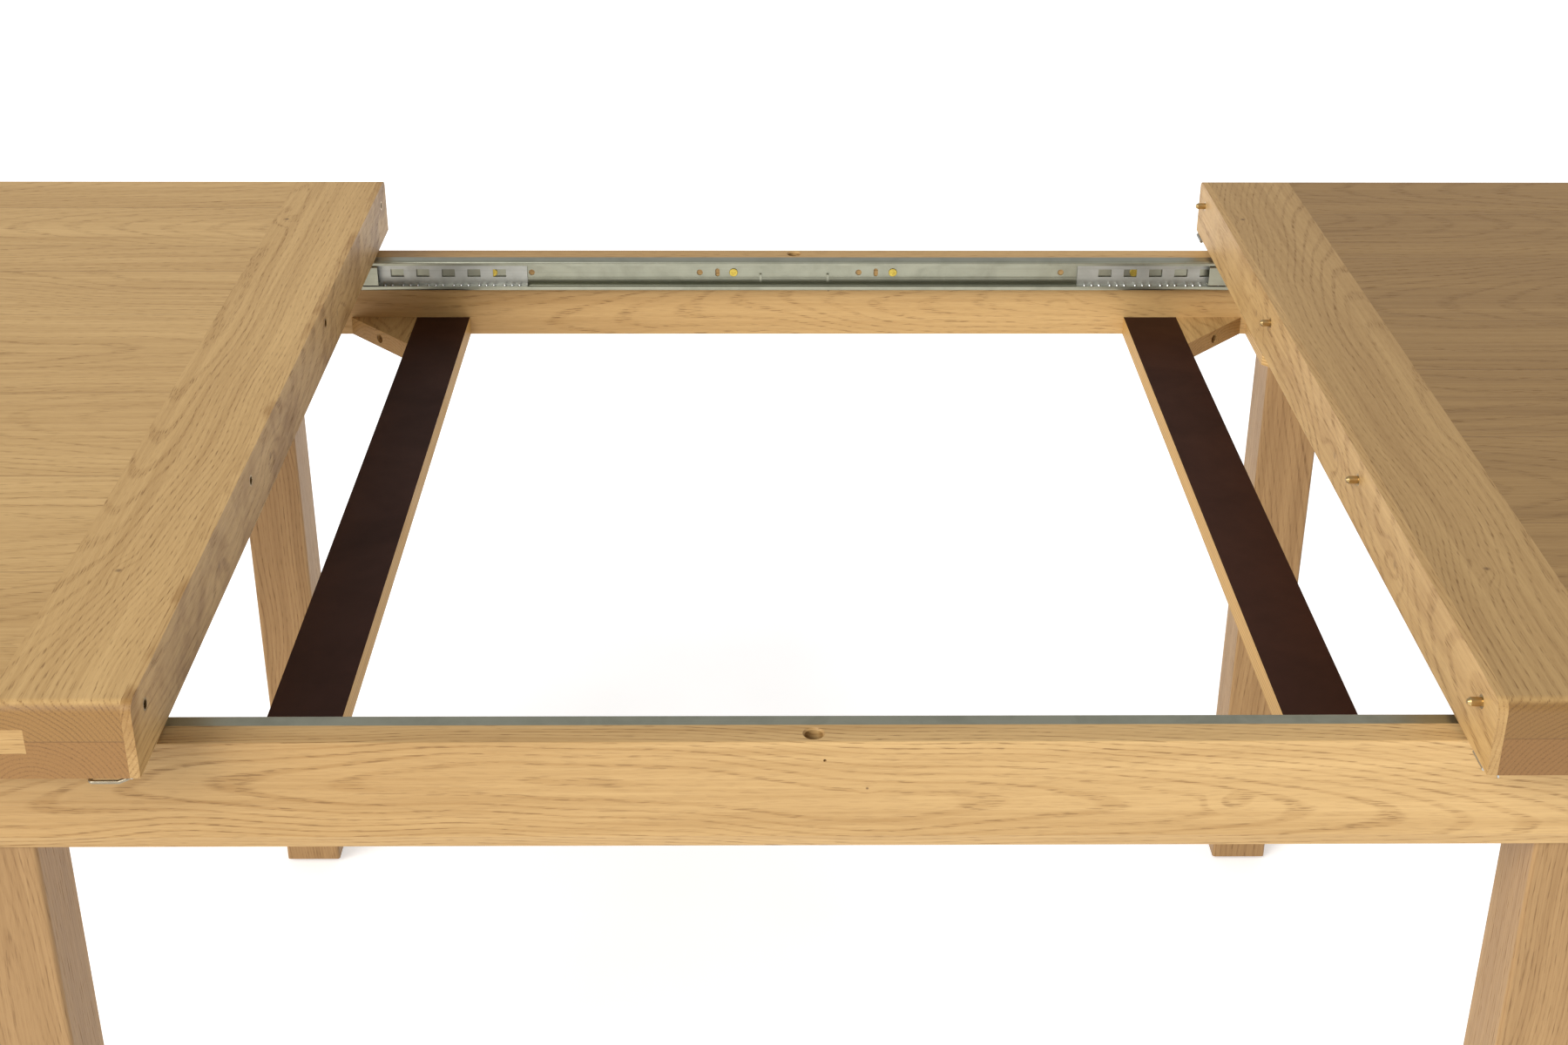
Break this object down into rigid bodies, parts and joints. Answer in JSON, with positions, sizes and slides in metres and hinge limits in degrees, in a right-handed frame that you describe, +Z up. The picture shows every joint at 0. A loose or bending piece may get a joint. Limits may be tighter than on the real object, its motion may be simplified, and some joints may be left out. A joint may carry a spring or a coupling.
{
  "type": "extendable dining table",
  "caption": "Extendable oak dining table with two half tops that slide apart on ball-bearing slides, a frame with legs, leaf bearers, locating pins and wire catches.",
  "frame": {"origin": "on the floor, under the middle of the table", "axes": "+X to the right along the slides, +Y to the rear, +Z up"},
  "size_m": [2.226, 1, 0.76],
  "materials": {
    "left_oak": "satin oiled oak",
    "left_oak_cross": "satin oiled oak",
    "right_oak": "satin oiled oak",
    "right_oak_cross": "satin oiled oak",
    "oak_lipping": "satin oiled oak",
    "oak_frame": "satin oiled oak",
    "film_plywood": "smooth phenolic film over plywood",
    "block_wood": "planed",
    "birch_plywood": "raw plywood",
    "yellow_zinc": "yellow passivated steel",
    "slide_steel": "zinc-plated sheet",
    "cage_steel": "bright stamped sheet",
    "ball_steel": "polished",
    "brass": "turned",
    "zinc_steel": "zinc-plated",
    "wire_steel": "bright wire",
    "glide_plastic": "moulded"
  },
  "bodies": {
    "frame": {"channel_screws": "yellow_zinc", "foot_glides": "glide_plastic", "front_apron": "oak_frame", "front_left_corner_plate": "birch_plywood", "front_left_leg": "oak_frame", "front_right_corner_plate": "birch_plywood", "front_right_leg": "oak_frame", "front_slide_channel": "slide_steel", "glue_block_screws": "zinc_steel", "left_bearer": "film_plywood", "left_end_rail": "oak_frame", "left_glue_blocks": "block_wood", "leg_bolts": "zinc_steel", "leg_washers": "zinc_steel", "rear_apron": "oak_frame", "rear_left_corner_plate": "birch_plywood", "rear_left_leg": "oak_frame", "rear_right_corner_plate": "birch_plywood", "rear_right_leg": "oak_frame", "rear_slide_channel": "slide_steel", "right_bearer": "film_plywood", "right_end_rail": "oak_frame", "right_glue_blocks": "block_wood"},
    "left_top": {"left_field_panel": "left_oak", "left_cross_board": "left_oak_cross", "left_end_board": "left_oak_cross", "left_lipping": "oak_lipping", "socket_bushes": "brass", "left_front_runner": "slide_steel", "left_rear_runner": "slide_steel", "left_front_hanger_angle": "zinc_steel", "left_rear_hanger_angle": "zinc_steel", "left_runner_rivets": "zinc_steel", "left_top_screws": "zinc_steel", "left_stop_blocks": "block_wood", "left_catch_screws": "zinc_steel", "catch_plates": "zinc_steel"},
    "right_top": {"right_field_panel": "right_oak", "right_cross_board": "right_oak_cross", "right_end_board": "right_oak_cross", "right_lipping": "oak_lipping", "locating_pins": "brass", "right_front_runner": "slide_steel", "right_rear_runner": "slide_steel", "right_front_hanger_angle": "zinc_steel", "right_rear_hanger_angle": "zinc_steel", "right_runner_rivets": "zinc_steel", "right_top_screws": "zinc_steel", "right_stop_blocks": "block_wood", "right_catch_screws": "zinc_steel", "keepers": "zinc_steel"},
    "left_cages": {"left_front_ball_cage": "cage_steel", "left_rear_ball_cage": "cage_steel", "left_slide_balls": "ball_steel"},
    "right_cages": {"right_front_ball_cage": "cage_steel", "right_rear_ball_cage": "cage_steel", "right_slide_balls": "ball_steel"},
    "front_bail": {"front_bail": "wire_steel"},
    "rear_bail": {"rear_bail": "wire_steel"}
  },
  "joints": [
    {"name": "left_top_slide", "type": "slide", "parent": "frame", "child": "left_top", "axis": [1, 0, 0], "range_m": [0, 0.413]},
    {"name": "right_top_slide", "type": "slide", "parent": "frame", "child": "right_top", "axis": [-1, 0, 0], "range_m": [0, 0.413]},
    {"name": "left_cage_slide", "type": "slide", "parent": "frame", "child": "left_cages", "axis": [1, 0, 0], "range_m": [0, 0.2065]},
    {"name": "right_cage_slide", "type": "slide", "parent": "frame", "child": "right_cages", "axis": [-1, 0, 0], "range_m": [0, 0.2065]},
    {"name": "front_bail_hinge", "type": "hinge", "parent": "left_top", "child": "front_bail", "pos_m": [-0.42225, -0.48, 0.7033], "axis": [0, -1, 0], "range_deg": [0, 160]},
    {"name": "rear_bail_hinge", "type": "hinge", "parent": "left_top", "child": "rear_bail", "pos_m": [-0.42225, 0.48, 0.7033], "axis": [0, -1, 0], "range_deg": [0, 160]}
  ],
  "couplings": [
    {"joint": "left_cage_slide", "follows": "left_top_slide", "ratio": 0.5},
    {"joint": "right_cage_slide", "follows": "right_top_slide", "ratio": 0.5}
  ]
}
